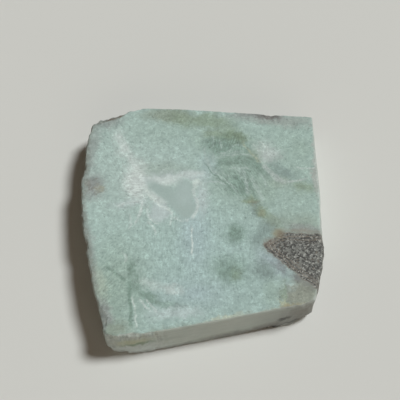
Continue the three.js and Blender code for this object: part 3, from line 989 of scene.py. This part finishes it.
@dataclass(frozen=True)
class LarimarFinish:
    """The slab's one finish: sawn pectolite with its markings, basalt, and a weathered rind."""

    thickness: float
    lean: Point = (0.28, 0.18)
    drift: Wander = Wander(7.0, 4.0)
    ragged: Wander = Wander(1.4, 4.0)
    wavy: Wander = Wander(2.2, 1.7)
    jagged: Wander = Wander(1.8, 2.4)
    density: Cloud = Cloud(1.2, 2.0, 0.6)
    dense: Rise = Rise(0.58, 0.38)
    side: Rise = Rise(0.92, 0.55)
    front: Rise = Rise(-0.3, -0.65)
    tooth: Cloud = Cloud(0.9, 3.0, 0.6)
    tooth_strength: float = 0.6
    tooth_depth: float = 0.12
    roughness: float = 0.62
    index: float = 1.6
    shine: float = 0.3

    def material(self) -> bpy.types.Material:
        """Builds the finish.

        Returns:
            The node material.
        """
        made = bpy.data.materials.new("larimar")
        made.use_nodes = True
        graph = Graph(made.node_tree)
        made.node_tree.nodes.clear()
        coordinates = graph.node("ShaderNodeTexCoord", {}).outputs["Object"]
        place = graph.scaled(coordinates, 1.0 / MM)
        plan = self.plan(graph, place)
        wavy = plan.wandered(place, self.wavy)
        colour = self.coated(wavy, self.stone(plan, wavy, place), place)
        shader = graph.node(
            "ShaderNodeBsdfPrincipled",
            {
                "Base Color": colour,
                "Roughness": self.roughness,
                "IOR": self.index,
                "Specular IOR Level": self.shine,
                "Normal": self.relief(graph, place),
            },
        )
        graph.node("ShaderNodeOutputMaterial", {"Surface": shader.outputs[0]})
        return made

    def plan(self, graph: Graph, place: Socket) -> Drawing:
        """The plan of the stone, led sideways with depth so that markings lean through it.

        Args:
            graph: The tree to build in.
            place: The point in the stone.

        Returns:
            The plan.
        """
        x, y, z = graph.axes(place)
        depth = graph.math("SUBTRACT", self.thickness, z)
        across = graph.math("MULTIPLY_ADD", depth, self.lean[0], x)
        up = graph.math("MULTIPLY_ADD", depth, self.lean[1], y)
        return Drawing(graph, across, up)

    def stone(self, plan: Drawing, wavy: Drawing, place: Socket) -> Value:
        """The colour of the larimar inside, with its zones, patches, heart, veins and texture.

        Args:
            plan: The plan of the stone.
            wavy: The same plan, on which outlines wander a little.
            place: The point in the stone.

        Returns:
            The colour.
        """
        graph = plan.graph
        ragged = plan.wandered(place, self.drift).wandered(place, self.ragged)
        heart = wavy.union(HEART)
        shaded = wavy.marked(Tint.HEART_BLUE.linear, HEART_SHADES)
        colour = graph.blend(ragged.marked(Tint.AQUA.linear, ZONES + PATCHES), shaded, heart)
        dense = graph.step(graph.noise(place, self.density), self.dense)
        colour = wavy.veined(colour, VEINS, dense)
        smooth = graph.math("MAXIMUM", heart, wavy.union(MILKY))
        return Crystals().lay(plan, colour, place, smooth)

    def coated(self, wavy: Drawing, colour: Value, place: Socket) -> Value:
        """The colour with the saw film, the crust, the basalt, and the stains of the front with painted
        shade along its foot.

        Args:
            wavy: The plan of the stone, on which outlines wander a little.
            colour: The colour of the larimar.
            place: The point in the stone.

        Returns:
            The colour of the surface.
        """
        graph = wavy.graph
        _, backward, upward = graph.axes(graph.node("ShaderNodeNewGeometry", {}).outputs["Normal"])
        side = graph.step(graph.math("ABSOLUTE", upward), self.side)
        front = graph.math("MULTIPLY", side, graph.step(backward, self.front))
        colour = SawFilm().lay(graph, colour, place, side)
        colour = Crust().lay(graph, colour, place)
        colour = Basalt().lay(wavy, colour, place)
        x, _, z = graph.axes(place)
        elevation = Drawing(graph, x, z).wandered(place, self.jagged)
        # the front's stains, with painted shade along its foot
        return graph.blend(colour, elevation.marked(colour, FRONT_STAINS_AND_SHADE), front)

    def relief(self, graph: Graph, place: Socket) -> Socket:
        """The fine tooth of the sawn and broken faces.

        Args:
            graph: The tree to build in.
            place: The point in the stone.

        Returns:
            The shading normal.
        """
        tooth = graph.noise(place, self.tooth)
        inputs = {"Height": tooth, "Strength": self.tooth_strength, "Distance": self.tooth_depth * MM}
        return graph.node("ShaderNodeBump", inputs).outputs[0]


@dataclass(frozen=True)
class BreakZone:
    """A stretch of the rim where the stone broke: an oval in plan, and how rough it is there."""

    centre: Point
    half: Point
    roughness: float


@dataclass(frozen=True)
class Relief:
    """A layered noise that roughens the break: how far apart its lumps stand and how deep they go.

    Its push is its depth times a base and a swing of the noise. A height share under 1 draws the
    lumps out upright, and a shift keeps two reliefs from following each other. Each finer layer is
    weaker by the falloff, and finer by the refinement.
    """

    size: float
    depth: float
    layers: int
    base: float = 0.0
    swing: float = 1.0
    height_share: float = 1.0
    shift: float = 0.0
    falloff: float = 1.0
    refinement: float = 2.0

    def push(self, point: np.ndarray) -> float:
        """How far the noise pushes a point in.

        Args:
            point: The point in millimetres.

        Returns:
            The distance in millimetres, negative where the noise pushes out.
        """
        x, y, z = point
        place = Vector((x + self.shift, y, z * self.height_share)) / self.size
        lump = noise.fractal(place, self.falloff, self.refinement, self.layers)
        return self.depth * (self.base + self.swing * lump)


@dataclass(frozen=True)
class Chips:
    """Small shell-shaped chips knocked out of the sawn edges.

    A sink is how far a chip's middle lies outside the stone, as a share of its radius. A slope is
    the upright part of a normal, by which the edges are found.
    """

    count: int = 150
    radius: Point = (0.3, 0.8)
    sink: Point = (0.55, 0.85)
    edge_band: float = 0.5
    edge_slope: Point = (0.3, 0.85)
    seed: int = 11

    def knock(self, points: np.ndarray, normals: np.ndarray, thickness: float) -> np.ndarray:
        """Knocks the chips out.

        Args:
            points: The points, which are changed in place.
            normals: Their normals before the chipping.
            thickness: Height of the upper face over the lower one.

        Returns:
            The same points.
        """
        dice = random.Random(self.seed)
        slope = np.abs(normals[:, 2])
        by_face = np.minimum(points[:, 2], thickness - points[:, 2]) < self.edge_band
        least, most = self.edge_slope
        edge = np.flatnonzero(by_face & (slope > least) & (slope < most))
        for index in dice.sample(list(edge), self.count):
            radius = dice.uniform(*self.radius)
            centre = points[index] + normals[index] * radius * dice.uniform(*self.sink)
            away = points - centre
            distance = np.linalg.norm(away, axis=1)
            inside = distance < radius
            points[inside] = centre + away[inside] * (radius / distance[inside])[:, None]
        return points


@dataclass
class Slab:
    """The slab: the solid cut into even small faces, then broken, splintered and chipped.

    Lengths are in millimetres. Roughness goes from 0 to 1, and a zone's fades out at its edge,
    which is given as a share of its half size.
    """

    name: str = "larimar"
    weld: float = 0.001
    face: float = 0.45
    level_snap: float = 0.3
    level_facing: float = 0.9
    sawn_roughness: float = 0.10
    zone_end: float = 1.15
    zone_fade: float = 0.3
    sharp_angle: float = 50.0
    reliefs: tuple[Relief, ...] = (
        Relief(2.2, 0.5, 3, base=0.2, swing=0.8, height_share=0.45),
        Relief(0.9, 0.22, 2, shift=31.0),
    )
    zones: tuple[BreakZone, ...] = (
        BreakZone((-46.0, 4.0), (13.0, 60.0), 1.0),
        BreakZone((-33.0, 44.0), (14.0, 9.0), 1.0),
        BreakZone((-26.0, -45.0), (16.0, 7.0), 0.9),
        BreakZone((36.0, -40.0), (12.0, 10.0), 0.6),
        BreakZone((44.0, -18.0), (6.0, 18.0), 0.45),
    )

    def build(self) -> bpy.types.Object:
        """Makes the slab and lets it stand for the solid.

        Returns:
            The finished piece.
        """
        piece = self.fine_copy()
        points, normals = self.vertices(piece.data)
        low, high = (np.array(corner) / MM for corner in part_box(NODE))
        thickness = float(high[2])
        level = self.levels(points, normals, thickness)
        broken = self.broken(points) * (1.0 - level)
        points = self.splintered(points, normals, broken, level)
        points = Chips().knock(points, normals, thickness)
        points = np.clip(points, low, high)
        self.write(piece.data, points, broken)
        piece.data.materials.clear()
        piece.data.materials.append(LarimarFinish(thickness).material())
        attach(piece, "root")
        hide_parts(NODE)
        return piece

    def fine_copy(self) -> bpy.types.Object:
        """Copies the solid and remeshes the copy into even small faces.

        Returns:
            The copy.
        """
        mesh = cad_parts[NODE].data.copy()
        joined = bmesh.new()
        joined.from_mesh(mesh)
        bmesh.ops.remove_doubles(joined, verts=joined.verts, dist=self.weld * MM)
        joined.to_mesh(mesh)
        joined.free()
        piece = bpy.data.objects.new(self.name, mesh)
        bpy.context.collection.objects.link(piece)
        remesh = piece.modifiers.new("even_faces", "REMESH")
        remesh.mode = "VOXEL"
        remesh.voxel_size = self.face * MM
        evaluated = piece.evaluated_get(bpy.context.evaluated_depsgraph_get())
        fine = bpy.data.meshes.new_from_object(evaluated)
        piece.modifiers.clear()
        piece.data = fine
        return piece

    def vertices(self, mesh: bpy.types.Mesh) -> tuple[np.ndarray, np.ndarray]:
        """Reads the mesh's points in millimetres and its vertex normals.

        Args:
            mesh: The mesh.

        Returns:
            The points and the normals, one row each.
        """
        points = np.empty(len(mesh.vertices) * 3)
        normals = np.empty_like(points)
        mesh.vertices.foreach_get("co", points)
        mesh.vertices.foreach_get("normal", normals)
        return points.reshape(-1, 3) / MM, normals.reshape(-1, 3)

    def levels(self, points: np.ndarray, normals: np.ndarray, thickness: float) -> np.ndarray:
        """Sets the two sawn faces dead flat, and says which points lie on them.

        Args:
            points: The points, which are changed in place.
            normals: Their normals.
            thickness: Height of the upper face over the lower one.

        Returns:
            1 for each point of a sawn face and 0 for the rest.
        """
        level = np.zeros(len(points))
        for height, facing in ((thickness, 1.0), (0.0, -1.0)):
            close = np.abs(points[:, 2] - height) < self.level_snap
            near = close & (normals[:, 2] * facing > self.level_facing)
            points[near, 2] = height
            level[near] = 1.0
        return level

    def broken(self, points: np.ndarray) -> np.ndarray:
        """How rough the stone is at each point, from the sawn cuts to the broken rind.

        Args:
            points: The points.

        Returns:
            The roughness, from 0 to 1.
        """
        rough = np.full(len(points), self.sawn_roughness)
        for zone in self.zones:
            across = (points[:, 0] - zone.centre[0]) / zone.half[0]
            up = (points[:, 1] - zone.centre[1]) / zone.half[1]
            near = np.clip((self.zone_end - np.hypot(across, up)) / self.zone_fade, 0.0, 1.0)
            rough = np.maximum(rough, zone.roughness * near * near * (3.0 - 2.0 * near))
        return rough

    def splintered(
        self, points: np.ndarray, normals: np.ndarray, broken: np.ndarray, level: np.ndarray
    ) -> np.ndarray:
        """The points of the sides pushed in by splintery and toothed noise.

        Args:
            points: The points.
            normals: Their normals.
            broken: How rough each point is.
            level: Which points lie on a sawn face, and stay.

        Returns:
            The moved points.
        """
        moved = points.copy()
        for index in np.flatnonzero(level == 0.0):
            depth = sum(relief.push(points[index]) for relief in self.reliefs)
            moved[index] -= normals[index] * depth * broken[index]
        return moved

    def write(self, mesh: bpy.types.Mesh, points: np.ndarray, broken: np.ndarray) -> None:
        """Puts the points and their roughness into the mesh, and shades it smooth but for its edges.

        Args:
            mesh: The mesh.
            points: Its new points, in millimetres.
            broken: How rough each of them is.
        """
        mesh.vertices.foreach_set("co", (points * MM).ravel())
        mesh.attributes.new(BROKEN, "FLOAT", "POINT").data.foreach_set("value", broken)
        mesh.update()
        mesh.shade_smooth()
        mesh.set_sharp_from_angle(angle=math.radians(self.sharp_angle))


@dataclass(frozen=True)
class Lamp:
    """A soft distant lamp.

    Its plan is the way to it from above. Its height over the floor and its spread, which is how
    wide it looks, are in degrees, and its strength is in watts per square metre.
    """

    name: str
    plan: Point
    height: float
    strength: float
    spread: float
    colour: Triple

    def hang(self) -> bpy.types.Object:
        """Hangs the lamp.

        Returns:
            The lamp.
        """
        light = bpy.data.lights.new(self.name, "SUN")
        light.energy = self.strength
        light.angle = math.radians(self.spread)
        light.color = self.colour
        lamp = bpy.data.objects.new(self.name, light)
        height = math.radians(self.height)
        flat = Vector(self.plan).normalized() * math.cos(height)
        towards = Vector((flat.x, flat.y, math.sin(height)))
        lamp.rotation_euler = towards.to_track_quat("Z", "Y").to_euler()
        bpy.context.collection.objects.link(lamp)
        return lamp


@dataclass
class Studio:
    """The pale floor, the soft lamps, the room's glow and the camera. Lengths are in metres."""

    floor_reach: float = 6.0
    floor_gap: float = 0.02 * MM
    floor_roughness: float = 0.8
    floor_shine: float = 0.2
    lamps: tuple[Lamp, ...] = (
        Lamp("key", (0.94, 0.36), 57.0, 3.08, 16.0, (0.965, 1.0, 1.02)),
        Lamp("fill", (0.25, -1.0), 6.0, 1.1, 70.0, (1.0, 0.92, 0.82)),
    )
    horizon: Colour = (0.60, 0.59, 0.56, 1.0)
    overhead: Colour = (0.075, 0.050, 0.029, 1.0)
    glow_rise: Rise = Rise(0.04, 0.25)
    camera_place: Triple = (-0.00011, -0.13237, 0.2530)
    camera_tilt: float = 30.0
    lens: float = 72.0

    def lay_floor(self) -> bpy.types.Object:
        """Lays the plain pale floor under the slab.

        Returns:
            The floor.
        """
        mesh = bpy.data.meshes.new("floor")
        reach = self.floor_reach
        corners = [(-reach, -reach, 0.0), (reach, -reach, 0.0), (reach, reach, 0.0), (-reach, reach, 0.0)]
        mesh.from_pydata(corners, [], [range(len(corners))])
        floor = bpy.data.objects.new("floor", mesh)
        floor.location.z = -self.floor_gap
        bpy.context.collection.objects.link(floor)
        paint = bpy.data.materials.new("floor")
        paint.use_nodes = True
        shader = paint.node_tree.nodes["Principled BSDF"]
        shader.inputs["Base Color"].default_value = Tint.FLOOR.linear
        shader.inputs["Roughness"].default_value = self.floor_roughness
        shader.inputs["Specular IOR Level"].default_value = self.floor_shine
        mesh.materials.append(paint)
        return floor

    def light(self) -> None:
        """Hangs the lamps and sets the room's own glow, which fades from its horizon upwards."""
        for lamp in self.lamps:
            lamp.hang()
        world = bpy.data.worlds.new("room")
        world.use_nodes = True
        bpy.context.scene.world = world
        world.node_tree.nodes.clear()
        graph = Graph(world.node_tree)
        direction = graph.node("ShaderNodeTexCoord", {}).outputs["Generated"]
        _, _, height = graph.axes(direction)
        glow = graph.blend(self.horizon, self.overhead, graph.step(height, self.glow_rise))
        background = graph.node("ShaderNodeBackground", {"Color": glow})
        graph.node("ShaderNodeOutputWorld", {"Surface": background.outputs[0]})

    def place_camera(self) -> bpy.types.Object:
        """Sets the camera over the slab's front edge.

        Returns:
            The camera.
        """
        camera = bpy.data.objects.new("camera", bpy.data.cameras.new("camera"))
        camera.location = self.camera_place
        camera.rotation_euler = (math.radians(self.camera_tilt), 0.0, 0.0)
        camera.data.lens = self.lens
        bpy.context.collection.objects.link(camera)
        bpy.context.scene.camera = camera
        return camera


def main() -> None:
    """Builds the slab and the studio."""
    logging.basicConfig(level=logging.INFO, format="%(message)s")
    bpy.context.scene.view_settings.view_transform = "Standard"
    slab = Slab().build()
    LOG.info("%s: %d faces", slab.name, len(slab.data.polygons))
    studio = Studio()
    floor = studio.lay_floor()
    LOG.info("%s: laid", floor.name)
    studio.light()
    LOG.info("lamps: %d hung", len(studio.lamps))
    camera = studio.place_camera()
    LOG.info("%s: placed", camera.name)


if __name__ == "__main__":
    main()
